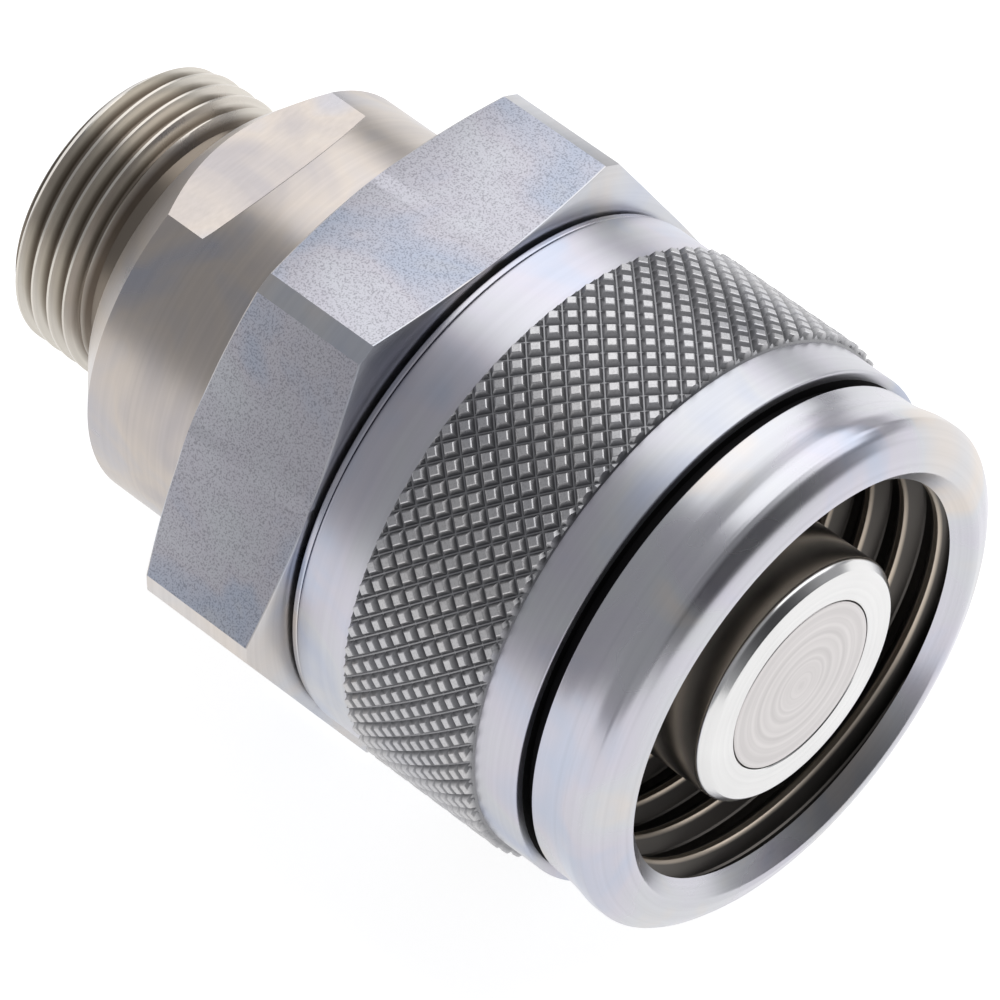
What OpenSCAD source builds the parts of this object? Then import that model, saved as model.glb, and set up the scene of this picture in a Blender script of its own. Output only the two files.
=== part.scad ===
// Screw-to-connect, flat-face hydraulic coupler: the half with the nose, the
// sprung poppet and the rotating internally threaded sleeve.
// The axis of the coupler is X, with the mouth towards +X and +Z up. The origin
// is the centre of the flat coupling face. Two opposite flats of the hexagon
// face up and down, so the coupler lies on the lower one.

/* [Coupling sleeve] */
// Major diameter of the internal coupling thread
coupling_thread_d = 33; // [28:0.5:40]
// Depth of the internal coupling thread
coupling_thread_depth = 1.1; // [0.8:0.1:1.4]
// Length of the sleeve from its mouth to its rear end
sleeve_len = 27.6; // [22.5:0.1:33]
// How far the mouth stands ahead of the coupling face
mouth_ahead = 0.5; // [0.3:0.1:1]
// Wall between the thread root and the seat of the grip ring
nut_wall = 1.9; // [1.5:0.1:2.4]
// Radial width of the mouth chamfer
mouth_chamfer = 1.2; // [0.8:0.1:1.5]
// Height of the front bead above the seat of the grip ring
bead_height = 1.28; // [0.9:0.01:1.5]
// Length of the front bead, from the mouth to the groove
bead_len = 6.6; // [5.5:0.1:8]
// Width of the groove behind the front bead
groove_w = 0.9; // [0.7:0.1:1.2]
// Clearance of the sleeve's rear end to the hexagon
sleeve_gap = 0.3; // [0.2:0.05:0.6]

/* [Grip ring] */
// Wall of the grip ring at the knurl
grip_wall = 2; // [1.6:0.1:2.4]
// Length of the smooth band in front of the knurl
band_len = 3.6; // [3:0.1:4.5]
// Length of the knurl
knurl_len = 11.5; // [9.5:0.1:12.5]
// How far the front band lies below the knurl
band_drop = 0.6; // [0.3:0.02:0.8]
// How far the rear band lies below the knurl
tail_drop = 0.35; // [0.25:0.05:0.6]
// Thickness of the locking ring at the rear of the sleeve
lock_ring_t = 0.45; // [0.4:0.05:0.6]
// Width of the line between the grip ring and the locking ring
lock_ring_gap = 0.1; // [0.05:0.05:0.3]

/* [Hexagon body] */
// Hexagon, across flats
hex_af = 41; // [34:0.5:50]
// Diameter to which the corners of the hexagon are turned
hex_turned_over = 5.5; // [4:0.1:6]
// Length of the hexagon
hex_len = 10.9; // [9:0.1:13]
// Angle of the hexagon's front chamfer
hex_chamfer = 12; // [8:1:25]
// Angle of the hexagon's rear chamfer
hex_rear_chamfer = 20; // [8:1:25]
// Length of the round journal that the sleeve turns on
journal_len = 11.7; // [10.5:0.1:14]
// Wall of the journal
journal_wall = 2.7; // [2.3:0.1:3.5]

/* [Nose and valve] */
// Diameter of the poppet's flat face
poppet_d = 12.9; // [10.7:0.1:15.5]
// Running clearance of the poppet in the nose, on radius
poppet_fit = 0.08; // [0.05:0.01:0.1]
// Length of the poppet head, and of the nose land around it
poppet_len = 6.5; // [5.6:0.1:7.6]
// Radial width of the flow space around the poppet head
flow_gap = 1.55; // [1.3:0.05:1.9]
// Wall of the nose
nose_wall = 1.4; // [1.2:0.05:2]
// Radius of the nose's front edge
nose_edge = 0.7; // [0.3:0.05:0.75]
// Thickness of the nose's shoulder
shoulder_t = 2; // [1.6:0.1:2.4]
// Step from the nose out to its rear spigot, on radius
spigot_step = 2.15; // [1.8:0.05:2.6]
// Length of the nose's rear spigot
spigot_len = 9.5; // [8.4:0.1:10.5]
// Diameter of the valve stem
stem_d = 5; // [4.2:0.1:6]
// Wire diameter of the valve spring
spring_wire_d = 1.1; // [0.9:0.05:1.3]
// Active turns of the valve spring
spring_turns = 5; // [4:0.5:5.5]

/* [Rear adapter] */
// Diameter of the round collar
collar_d = 32; // [29:0.5:40]
// Length of the round collar
collar_len = 11.9; // [10:0.1:15]
// Length of the 45 degree cone behind the collar
collar_cone = 3.3; // [2.6:0.1:3.6]
// Wrench flats on the collar, across flats
wrench_af = 28; // [26:0.5:29]
// Length of the wrench flats at their sides
wrench_len = 3.2; // [2.8:0.1:4.2]
// Diameter of the cutter that leaves the round end of the wrench flats
wrench_cutter_d = 40; // [32:1:48]
// Major diameter of the tube stub's thread
stub_thread_d = 22; // [20:0.5:23]
// Length of the tube stub's thread
stub_thread_len = 7.2; // [6:0.1:9]
// Length of the relief between the stub's thread and the collar
stub_neck_len = 2.6; // [2:0.1:3.2]
// Depth of the relief, on radius
stub_neck_depth = 1.15; // [1:0.05:1.3]
// Outer diameter of the tube that the stub takes
tube_d = 15; // [13:0.5:15.5]
// Depth of the tube socket
tube_depth = 7; // [6.5:0.1:8]
// Bore of the adapter
flow_d = 12; // [10:0.5:12.5]

/* [Hidden] */
$fn = 96;
section_fn = 40;                 // facets of the small round sections

// Fits
run_fit = 0.05;                  // radial clearance of turning and sliding pieces
screw_fit = 0.05;                // radial clearance of screwed joints, drawn without thread
seal_touch = 0.02;               // gap left between a ring's section and its seat
end_gap = 0.2;                   // axial clearance behind a spigot
seal_play = 0.15;                // axial play of a seal and its back-up ring
backup_gap = 0.1;                // gap between a seal and its back-up ring
over = 1;                        // how far a cutting shape runs past a face

// Sleeve, on radius and along X
thread_root_r = coupling_thread_d / 2;
thread_crest_r = thread_root_r - coupling_thread_depth;
nut_core_r = thread_root_r + nut_wall;
knurl_r = nut_core_r + grip_wall;
mouth_r = thread_crest_r + mouth_chamfer;
bead_r = nut_core_r + bead_height;
x_mouth = mouth_ahead;
x_bead_end = x_mouth - bead_len;
x_grip_front = x_bead_end - groove_w;
x_nut_rear = x_mouth - sleeve_len;
x_lock_front = x_nut_rear + lock_ring_t;
x_grip_rear = x_lock_front + lock_ring_gap;

// Body, along X
x_hex_front = x_nut_rear - sleeve_gap;
x_hex_rear = x_hex_front - hex_len;
x_body_front = x_hex_front + journal_len;

// Nose and poppet, on radius and along X
poppet_r = poppet_d / 2;
land_r = poppet_r + poppet_fit;
chamber_r = poppet_r + flow_gap;
nose_r = chamber_r + nose_wall;
spigot_r = nose_r + spigot_step;
shoulder_lip = 0.9;
shoulder_r = spigot_r + shoulder_lip;
body_bore_r = spigot_r + screw_fit;
journal_r = body_bore_r + journal_wall;
x_shoulder = x_body_front + shoulder_t;
x_nose_rear = x_body_front - spigot_len;
spigot_wall = 1.6;
rear_bore_r = spigot_r - spigot_wall;    // nose bore behind its chamber

// Running bore of the nut on the journal
nut_bore_r = journal_r + run_fit;
nut_flange_back = 1.5;
x_nut_flange = x_body_front - nut_flange_back;
thread_relief_w = 2.5;
x_thread_end = x_nut_flange + thread_relief_w;

// Stem guide, clamped between the nose and a web in the body
rim_t = 1.3;
web_t = 1.2;
rim_w = 2.1;
x_web_front = x_nose_rear - rim_t;
x_web_rear = x_web_front - web_t;
web_r = body_bore_r - rim_w;
stem_r = stem_d / 2;
bush_wall = 0.75;
bush_r = stem_r + run_fit + bush_wall;
hub_wall = 1.1;
hub_r = bush_r + hub_wall;
hub_len = 6.1;
hub_ahead = 0.1;
x_hub_front = x_nose_rear + hub_ahead;
x_hub_rear = x_hub_front - hub_len;
seat_t = 0.8;
x_seat = x_hub_front + seat_t;

// Poppet
flange_t = 1.6;
flange_r = poppet_r + flow_gap / 2;
stop_gap = 0.05;
x_flange_front = -poppet_len - stop_gap;
x_flange_rear = x_flange_front - flange_t;
boss_len = 2.8;
boss_wall = 1.5;
boss_r = stem_r + boss_wall;
x_boss_rear = x_flange_rear - boss_len;
stud_step = 0.6;
stud_r = stem_r - stud_step;
stud_len = 5.5;
stem_tail = 0.6;
x_stem_rear = x_hub_rear - stem_tail;
spring_room = 0.6;
spring_r = boss_r + spring_room + spring_wire_d / 2;

// Seals
oring_d = 1.9;                   // section of the two body seals
backup_t = 0.8;
seal_room = oring_d + backup_t + seal_play;
poppet_oring_d = 1.6;
poppet_backup_t = 0.7;
poppet_seal_room = poppet_oring_d + poppet_backup_t + seal_play;
seal_land = 0.8;                 // wall beside the groove in the nose's spigot
x_nose_seal = x_body_front - seal_land;
x_chamber_end = x_nose_seal - seal_room - seal_land;
x_poppet_seal = -2;              // front wall of the groove in the poppet head

// Rear adapter, on radius and along X
adapter_land_step = 1.15;
adapter_land_r = body_bore_r + adapter_land_step;
adapter_thread_step = 0.9;
adapter_thread_r = adapter_land_r + adapter_thread_step;
adapter_land_len = 4.3;
x_adapter_front = x_web_rear - end_gap;
x_adapter_land = x_adapter_front - adapter_land_len;
adapter_seal_land = 0.7;
x_adapter_seal = x_adapter_front - adapter_seal_land;
guide_flow_gap = 3.6;
guide_room_r = hub_r + guide_flow_gap;
guide_room_end = 2;
x_guide_room = x_hub_rear - guide_room_end;
x_collar_rear = x_hex_rear - collar_len;
x_cone_rear = x_collar_rear - collar_cone;
x_stub_thread = x_cone_rear - stub_neck_len;
x_stub_end = x_stub_thread - stub_thread_len;
collar_r = collar_d / 2;
stub_r = stub_thread_d / 2;
stub_chamfer = 1;
tube_fit = 0.05;
tube_r = tube_d / 2 + tube_fit;
cone_half_angle = 12;            // a 24 degree cone
cone_step = 1.05;
cone_mouth_r = tube_r + cone_step;
cone_len = cone_step / tan(cone_half_angle);

// Retaining wire and washers of the sleeve
wire_r = 0.75;
wire_play = 0.06;
wire_inset = 5;                  // from the sleeve's rear end
x_wire = x_nut_rear + wire_inset;
dust_seal_inset = 3.2;           // from the wire to the front wall of the seal's groove
x_dust_seal = x_wire + dust_seal_inset;
dust_seal_d = 1.4;
dust_seal_play = 0.1;
washer_t = 1.1;
washer_play = 0.1;
washer_w = 2.6;
washer_r = nut_bore_r + washer_w;

// Turns a shape made about Z so that it lies about X.
module about_x() {
    rotate([0, 90, 0]) children();
}

// A turned piece: points are [radius, place along X].
module turned(points) {
    about_x() rotate_extrude() polygon(points);
}

// A plain tube or bar about X.
module bar(r, x0, x1) {
    turned([[0, x0], [r, x0], [r, x1], [0, x1]]);
}

module tube(r_in, r_out, x0, x1) {
    turned([[r_in, x0], [r_out, x0], [r_out, x1], [r_in, x1]]);
}

// A ring of round section about X.
module round_ring(section_r, ring_r, x) {
    about_x() translate([0, 0, x]) rotate_extrude() translate([ring_r, 0])
        circle(section_r, $fn = section_fn);
}

// A seal and its back-up ring in a groove whose front wall is at x.
module seal_ring(outer_r, section_d, x) {
    section_r = section_d / 2 - seal_touch;
    round_ring(section_r, outer_r - section_d / 2, x - section_d / 2 - seal_touch);
}

module backup(outer_r, section_d, thick, x) {
    x_front = x - section_d - backup_gap;
    tube(outer_r - section_d + seal_touch, outer_r - seal_touch, x_front - thick, x_front);
}

module rear_adapter() {
    color("tan") difference() {
        turned([
            [0, x_stub_end],
            [stub_r - stub_chamfer, x_stub_end],
            [stub_r, x_stub_end + stub_chamfer],
            [stub_r, x_stub_thread],
            [stub_r - stub_neck_depth, x_stub_thread],
            [stub_r - stub_neck_depth, x_cone_rear],
            [collar_r - collar_cone, x_cone_rear],
            [collar_r, x_collar_rear],
            [collar_r, x_hex_rear],
            [adapter_thread_r, x_hex_rear],
            [adapter_thread_r, x_adapter_land],
            [adapter_land_r - screw_fit, x_adapter_land],
            [adapter_land_r - screw_fit, x_adapter_front],
            [0, x_adapter_front]]);
        // tube socket with its cone, then the flow bore
        turned([
            [0, x_stub_end - over],
            [cone_mouth_r + over * tan(cone_half_angle), x_stub_end - over],
            [tube_r, x_stub_end + cone_len],
            [tube_r, x_stub_end + tube_depth],
            [flow_d / 2, x_stub_end + tube_depth],
            [flow_d / 2, x_guide_room - guide_room_end],
            [guide_room_r, x_guide_room],
            [guide_room_r, x_adapter_front + over],
            [0, x_adapter_front + over]]);
        // groove of the adapter's seal
        tube(adapter_land_r - oring_d, adapter_land_r + over, x_adapter_seal - seal_room, x_adapter_seal);
        for (side = [-1, 1]) wrench_flat(side);
    }
}

// One milled flat of the collar, with the round end that the cutter leaves.
module wrench_flat(side) {
    cut_h = collar_r;
    x_side = x_collar_rear + wrench_len;
    half_chord = sqrt(collar_r * collar_r - wrench_af * wrench_af / 4);
    cutter_r = wrench_cutter_d / 2;
    x_cutter = x_side - sqrt(cutter_r * cutter_r - half_chord * half_chord);
    translate([0, 0, side > 0 ? wrench_af / 2 : -wrench_af / 2 - cut_h]) {
        translate([x_cone_rear - over, -cutter_r, 0])
            cube([x_cutter - x_cone_rear + over, wrench_cutter_d, cut_h]);
        translate([x_cutter, 0, 0]) cylinder(h = cut_h, r = cutter_r);
    }
}

module hex_body() {
    turned_r = (hex_af + hex_turned_over) / 2;
    fall = turned_r - hex_af / 2;
    color("lightsteelblue") difference() {
        union() {
            intersection() {
                about_x() translate([0, 0, x_hex_rear]) rotate([0, 0, 30])
                    cylinder(h = hex_len, d = hex_af / cos(30), $fn = 6);
                turned([
                    [0, x_hex_rear],
                    [hex_af / 2, x_hex_rear],
                    [turned_r, x_hex_rear + fall * tan(hex_rear_chamfer)],
                    [turned_r, x_hex_front - fall * tan(hex_chamfer)],
                    [hex_af / 2, x_hex_front],
                    [0, x_hex_front]]);
            }
            bar(journal_r, x_hex_rear + over, x_body_front);
        }
        // from the rear: adapter thread, seal land, web, then the bore for the nose
        turned([
            [0, x_hex_rear - over],
            [adapter_thread_r + screw_fit, x_hex_rear - over],
            [adapter_thread_r + screw_fit, x_adapter_land],
            [adapter_land_r, x_adapter_land],
            [adapter_land_r, x_web_rear],
            [web_r, x_web_rear],
            [web_r, x_web_front],
            [body_bore_r, x_web_front],
            [body_bore_r, x_body_front + over],
            [0, x_body_front + over]]);
        round_ring(wire_r + wire_play, journal_r, x_wire);
        tube(journal_r - dust_seal_d, journal_r + over,
             x_dust_seal - dust_seal_d - 2 * dust_seal_play, x_dust_seal);
    }
}

module nose() {
    shoulder_edge = 0.4;
    color([0.32, 0.3, 0.29]) difference() {
        union() {
            turned([
                [0, x_nose_rear],
                [spigot_r, x_nose_rear],
                [spigot_r, x_body_front],
                [shoulder_r, x_body_front],
                [shoulder_r, x_shoulder - shoulder_edge],
                [shoulder_r - shoulder_edge, x_shoulder],
                [nose_r, x_shoulder],
                [nose_r, -nose_edge],
                [nose_r - nose_edge, -nose_edge],
                [0, -nose_edge]]);
            bar(nose_r - nose_edge, -2 * nose_edge, 0);
            round_ring(nose_edge, nose_r - nose_edge, -nose_edge);
        }
        turned([
            [0, x_nose_rear - over],
            [rear_bore_r, x_nose_rear - over],
            [rear_bore_r, x_chamber_end - rear_bore_r + chamber_r],
            [chamber_r, x_chamber_end],
            [chamber_r, -poppet_len],
            [land_r, -poppet_len],
            [land_r, over],
            [0, over]]);
        tube(body_bore_r - oring_d, spigot_r + over, x_nose_seal - seal_room, x_nose_seal);
    }
}

module adapter_oring() {
    color("black") seal_ring(adapter_land_r, oring_d, x_adapter_seal);
}

module adapter_backup_ring() {
    color("ivory") backup(adapter_land_r, oring_d, backup_t, x_adapter_seal);
}

module nose_oring() {
    color("black") seal_ring(body_bore_r, oring_d, x_nose_seal);
}

module nose_backup_ring() {
    color("ivory") backup(body_bore_r, oring_d, backup_t, x_nose_seal);
}

// Spider that carries the stem: a clamped rim, four legs and a long hub.
module stem_guide() {
    legs = 4;
    leg_w = 2.4;
    into_rim = 0.4;              // how far a leg runs into the rim
    gusset_r = guide_room_r - 0.6;
    x_gusset = x_hub_rear + 1.5;
    color("silver") difference() {
        union() {
            tube(web_r, body_bore_r - screw_fit, x_web_front, x_nose_rear);
            bar(hub_r, x_hub_rear, x_hub_front);
            for (i = [0 : legs - 1]) rotate([i * 360 / legs, 0, 0]) {
                translate([x_web_front, -leg_w / 2, 0]) cube([rim_t, leg_w, web_r + into_rim]);
                translate([x_gusset, -leg_w / 2, 0])
                    cube([x_nose_rear - x_gusset, leg_w, gusset_r]);
            }
        }
        bar(bush_r, x_hub_rear - over, x_hub_front + over);
    }
}

module guide_bush() {
    color("khaki") tube(stem_r + run_fit, bush_r, x_hub_rear, x_hub_front);
}

module spring_seat() {
    stem_gap = 1;
    rim = 0.5;
    color("silver") tube(stem_r + stem_gap, spring_r + spring_wire_d / 2 + rim, x_hub_front, x_seat);
}

// Wound wire between the poppet's flange and the spring seat, with closed end turns.
module valve_spring() {
    sides = 8;
    per_turn = 16;
    wire = spring_wire_d / 2 - seal_touch;
    x0 = x_seat + spring_wire_d / 2;
    x1 = x_flange_rear - spring_wire_d / 2;
    end_turns = 0.75;
    turns = spring_turns + 2 * end_turns;
    close = 1.02 * spring_wire_d * end_turns;
    steps = floor(turns * per_turn);
    // place along X after n turns: slow at both ends, even between them
    function along(n) =
        n < end_turns ? close * n / end_turns
        : n > turns - end_turns ? (x1 - x0) - close * (turns - n) / end_turns
        : close + (x1 - x0 - 2 * close) * (n - end_turns) / spring_turns;
    function ring_point(n, s) =
        let (a = 360 * n, b = 360 * s / sides, r = spring_r + wire * cos(b))
        [x0 + along(n) + wire * sin(b), r * cos(a), r * sin(a)];
    points = [for (k = [0 : steps]) for (s = [0 : sides - 1]) ring_point(k * turns / steps, s)];
    sidewalls = [for (k = [0 : steps - 1]) for (s = [0 : sides - 1])
        let (t = (s + 1) % sides)
        [k * sides + s, (k + 1) * sides + s, (k + 1) * sides + t, k * sides + t]];
    caps = [[for (s = [0 : sides - 1]) s],
            [for (s = [0 : sides - 1]) steps * sides + sides - 1 - s]];
    color("dimgray") polyhedron(points = points, faces = concat(sidewalls, caps), convexity = 8);
}

// Split ring of round wire that holds the nut on the journal.
module retaining_wire() {
    color("gray") about_x() translate([0, 0, x_wire])
        rotate_extrude(angle = 348) translate([journal_r, 0]) circle(wire_r, $fn = section_fn);
}

module thrust_washer() {
    color("khaki") tube(journal_r + run_fit, washer_r, x_hex_front, x_hex_front + washer_t);
}

module dust_seal() {
    color("black") round_ring(dust_seal_d / 2 - seal_touch, nut_bore_r - dust_seal_d / 2,
                              x_dust_seal - dust_seal_d / 2 - dust_seal_play);
}

module poppet_head() {
    face_edge = 0.15;
    drill_end = 0.4;             // how far the stud's hole runs past the stud
    color("gainsboro") difference() {
        turned([
            [0, x_boss_rear],
            [boss_r, x_boss_rear],
            [boss_r, x_flange_rear],
            [flange_r, x_flange_rear],
            [flange_r, x_flange_front],
            [poppet_r, x_flange_front],
            [poppet_r, -face_edge],
            [poppet_r - face_edge, 0],
            [0, 0]]);
        tube(land_r - poppet_oring_d, poppet_r + over, x_poppet_seal - poppet_seal_room, x_poppet_seal);
        bar(stud_r + screw_fit, x_boss_rear - over, x_boss_rear + stud_len + drill_end);
    }
}

module valve_stem() {
    tail_edge = 0.5;
    color("silver") turned([
        [0, x_stem_rear],
        [stem_r - tail_edge, x_stem_rear],
        [stem_r, x_stem_rear + tail_edge],
        [stem_r, x_boss_rear],
        [stud_r, x_boss_rear],
        [stud_r, x_boss_rear + stud_len],
        [0, x_boss_rear + stud_len]]);
}

module poppet_oring() {
    color("black") seal_ring(land_r, poppet_oring_d, x_poppet_seal);
}

module poppet_backup_ring() {
    color("ivory") backup(land_r, poppet_oring_d, poppet_backup_t, x_poppet_seal);
}

// Inner part of the sleeve: coupling thread, front bead, and the bore that
// turns on the journal. The thread is drawn at its crest.
module union_nut() {
    crown_t = 1.9;               // axial depth of the crowned front rim
    rim_flat = 0.4;
    step = 0.1;                  // depth of each of the two fine steps on the bead
    step_w = 0.6;
    x_step = x_mouth - 2.75;
    waist_r = bead_r - 0.47;
    waist_len = 1.1;
    waist_rise = 0.12;
    rim_mid_r = (mouth_r + rim_flat + bead_r) / 2;
    rim_fall = 0.35;
    washer_room = 0.15;
    relief_r = thread_root_r + 0.1;
    color("lightsteelblue") difference() {
        turned([
            [0, x_nut_rear],
            [nut_core_r, x_nut_rear],
            [nut_core_r, x_bead_end],
            [waist_r, x_bead_end],
            [waist_r, x_bead_end + waist_len],
            [waist_r + waist_rise, x_bead_end + 2 * waist_len],
            [bead_r - 2 * step, x_step - step_w],
            [bead_r - step, x_step - step_w],
            [bead_r - step, x_step],
            [bead_r, x_step],
            [bead_r, x_mouth - crown_t],
            [bead_r - rim_fall, x_mouth - 0.7 * crown_t],
            [rim_mid_r, x_mouth - 0.25 * crown_t],
            [mouth_r + rim_flat, x_mouth],
            [0, x_mouth]]);
        // mouth chamfer, thread crest, relief and running bore
        turned([
            [0, x_mouth + over],
            [mouth_r + over, x_mouth + over],
            [mouth_r, x_mouth],
            [thread_crest_r, x_mouth - mouth_chamfer],
            [thread_crest_r, x_thread_end],
            [relief_r, x_thread_end],
            [relief_r, x_nut_flange],
            [nut_bore_r, x_nut_flange],
            [nut_bore_r, x_nut_rear - over],
            [0, x_nut_rear - over]]);
        round_ring(wire_r + wire_play, journal_r, x_wire);
        // seat of the thrust washer
        tube(0, washer_r + washer_room, x_nut_rear - over, x_hex_front + washer_t + washer_play);
    }
}

module grip_ring() {
    band_r = knurl_r - band_drop;
    tail_r = knurl_r - tail_drop;
    x_knurl = x_grip_front - band_len;
    x_tail = x_knurl - knurl_len;
    edge = 0.2;
    color("gray") turned([
        [nut_core_r, x_grip_rear],
        [tail_r - edge, x_grip_rear],
        [tail_r, x_grip_rear + edge],
        [tail_r, x_tail],
        [knurl_r, x_tail + tail_drop],
        [knurl_r, x_knurl - band_drop],
        [band_r, x_knurl],
        [band_r, x_grip_front - edge],
        [band_r - edge, x_grip_front],
        [nut_core_r, x_grip_front]]);
}

module lock_ring() {
    rim_drop = 0.15;
    ring_r = knurl_r - tail_drop - rim_drop;
    edge = 0.12;
    color("lightsteelblue") turned([
        [nut_core_r, x_nut_rear],
        [ring_r - edge, x_nut_rear],
        [ring_r, x_nut_rear + edge],
        [ring_r, x_lock_front - edge],
        [ring_r - edge, x_lock_front],
        [nut_core_r, x_lock_front]]);
}

rear_adapter();
adapter_oring();
adapter_backup_ring();
hex_body();
nose();
nose_oring();
nose_backup_ring();
stem_guide();
guide_bush();
spring_seat();
valve_spring();
retaining_wire();
thrust_washer();
dust_seal();
poppet_head();
valve_stem();
poppet_oring();
poppet_backup_ring();
union_nut();
grip_ring();
lock_ring();
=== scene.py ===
# Looks of a screw-to-connect, flat-face hydraulic coupler. The axis is X, the
# mouth is at +X and +Z is up. Sizes are in metres unless a name ends in _mm.
import math

import bmesh
import bpy
from mathutils import Matrix, Vector


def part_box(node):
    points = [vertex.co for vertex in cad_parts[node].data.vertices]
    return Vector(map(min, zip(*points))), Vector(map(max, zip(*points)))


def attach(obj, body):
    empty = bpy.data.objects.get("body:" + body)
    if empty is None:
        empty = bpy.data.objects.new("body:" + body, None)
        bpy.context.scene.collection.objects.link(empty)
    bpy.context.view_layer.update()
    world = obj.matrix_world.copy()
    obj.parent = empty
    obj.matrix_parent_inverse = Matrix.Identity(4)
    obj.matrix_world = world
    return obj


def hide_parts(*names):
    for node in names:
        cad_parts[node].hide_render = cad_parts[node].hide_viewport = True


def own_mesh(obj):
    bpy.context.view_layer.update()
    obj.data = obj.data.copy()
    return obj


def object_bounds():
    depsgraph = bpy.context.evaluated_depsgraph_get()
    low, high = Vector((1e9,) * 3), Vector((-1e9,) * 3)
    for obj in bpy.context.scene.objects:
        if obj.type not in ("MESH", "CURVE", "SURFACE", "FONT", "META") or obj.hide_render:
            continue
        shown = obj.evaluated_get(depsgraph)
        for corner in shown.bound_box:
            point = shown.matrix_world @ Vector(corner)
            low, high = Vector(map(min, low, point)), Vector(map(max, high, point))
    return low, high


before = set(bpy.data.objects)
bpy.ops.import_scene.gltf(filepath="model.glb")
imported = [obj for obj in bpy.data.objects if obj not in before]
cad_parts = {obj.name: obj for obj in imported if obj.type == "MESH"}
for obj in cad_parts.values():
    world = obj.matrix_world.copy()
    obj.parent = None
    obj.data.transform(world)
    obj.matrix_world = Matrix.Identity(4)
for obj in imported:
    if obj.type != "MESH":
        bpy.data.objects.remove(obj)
cad_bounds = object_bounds()

MM = 0.001
TURN = 2 * math.pi
AXIS = Vector((1, 0, 0))

# ---------------------------------------------------------------- places
# Stations and radii are taken from the solids, in metres.
nut_lo, nut_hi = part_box("union_nut")
grip_lo, grip_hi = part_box("grip_ring")
lock_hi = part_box("lock_ring")[1]
body_lo, body_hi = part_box("hex_body")
adapter_lo, adapter_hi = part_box("rear_adapter")
nose_lo, nose_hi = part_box("nose")
poppet_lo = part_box("poppet_head")[0]
wire_lo, wire_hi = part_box("retaining_wire")
seal_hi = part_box("dust_seal")[1]
washer_lo, washer_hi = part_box("thrust_washer")
spring_lo, spring_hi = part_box("valve_spring")

x_mouth = nut_hi[0]
x_nut_rear = nut_lo[0]
bead_r = nut_hi[2]
x_grip_front = grip_hi[0]
x_grip_rear = grip_lo[0]
knurl_r = grip_hi[2]
x_lock_front = lock_hi[0]
lock_r = lock_hi[2]
x_hex_rear = body_lo[0]
hex_half = body_hi[2]
turned_r = body_hi[1]
x_hex_front = washer_lo[0]
x_body_front = body_hi[0]
x_stub_end = adapter_lo[0]
x_adapter_front = adapter_hi[0]
collar_r = adapter_hi[1]

# Sizes that two or more pieces share, in millimetres
x_wire = (wire_lo[0] + wire_hi[0]) / 2 / MM
wire_groove_r = 0.81
journal_r = (wire_hi[2] - wire_lo[2]) / 2 / MM - 0.75
nut_core_r = 18.4
poppet_r = 6.45
screwed_play = 0.05
seal_depth = 1.85
seal_len = 2.85
body_bore_r = nose_hi[2] / MM - 0.9 + screwed_play
x_web_front = nose_lo[0] / MM - 1.3
web_len = 1.2
web_r = body_bore_r - 2.1
adapter_land_r = body_bore_r + 1.15
adapter_land_len = 4.3
adapter_thread_step = 0.95


# ---------------------------------------------------------------- mesh tools
def finish_piece(name, bm, body, materials, replaced=(), sharp_deg=22):
    """Closes and orients the mesh, then makes it a piece that rides on a body."""
    bmesh.ops.remove_doubles(bm, verts=bm.verts, dist=2e-6)
    bmesh.ops.dissolve_degenerate(bm, dist=1e-6, edges=bm.edges)
    bmesh.ops.recalc_face_normals(bm, faces=bm.faces)
    for face in bm.faces:
        face.smooth = True
    mesh = bpy.data.meshes.new(name)
    bm.to_mesh(mesh)
    bm.free()
    mesh.set_sharp_from_angle(angle=math.radians(sharp_deg))
    piece = bpy.data.objects.new(name, mesh)
    bpy.context.collection.objects.link(piece)
    for material in materials:
        mesh.materials.append(material)
    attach(piece, body)
    if replaced:
        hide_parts(*replaced)
    return piece


def outline(*corners):
    """An outline of (x, radius) points, in millimetres. A corner given as
    (x, radius, size) is rounded to that size, with a short straight beside it."""
    points = []
    count = len(corners)
    arc_steps = 6
    for i, corner in enumerate(corners):
        here = Vector(corner[:2])
        if len(corner) == 2 or i in (0, count - 1):
            points.append(here)
            continue
        before = Vector(corners[i - 1][:2])
        after = Vector(corners[i + 1][:2])
        size = corner[2]
        inward = (before - here).normalized()
        outward = (after - here).normalized()
        lead = min(0.4 * size, 0.2 * (before - here).length)
        tail = min(0.4 * size, 0.2 * (after - here).length)
        points.append(here + inward * (size + lead))
        for k in range(arc_steps + 1):
            t = k / arc_steps
            start = here + inward * size
            end = here + outward * size
            points.append(start * (1 - t) ** 2 + here * (2 * t * (1 - t)) + end * t ** 2)
        points.append(here + outward * (size + tail))
    return [(p.x, p.y) for p in points]


def spin_line(bm, points, steps, rise=0.0):
    """Turns a line of (x, radius) points in millimetres about X, and moves it
    along X by rise in one turn. It is spun for an eighth and the rest copied,
    and the seams are merged when the piece is finished. Gives the new vertices."""
    shares = 8
    first = len(bm.verts)
    part = bmesh.new()
    verts = [part.verts.new((x * MM, 0, r * MM)) for x, r in points]
    edges = [part.edges.new(pair) for pair in zip(verts, verts[1:])]
    bmesh.ops.spin(part, geom=verts + edges, cent=(0, 0, 0), axis=AXIS, angle=TURN / shares,
                   steps=steps // shares, dvec=AXIS * (rise * MM / steps), use_merge=False,
                   use_duplicate=False)
    share = bpy.data.meshes.new("share")
    part.to_mesh(share)
    part.free()
    step = Matrix.Translation(AXIS * (rise * MM / shares)) @ Matrix.Rotation(TURN / shares, 4, AXIS)
    for _ in range(shares):
        bm.from_mesh(share)
        share.transform(step)
    bpy.data.meshes.remove(share)
    return list(bm.verts)[first:]


def angle_of(co):
    """Angle about X from +Z, positive by the right-hand rule."""
    return math.atan2(-co.y, co.z)


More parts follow.
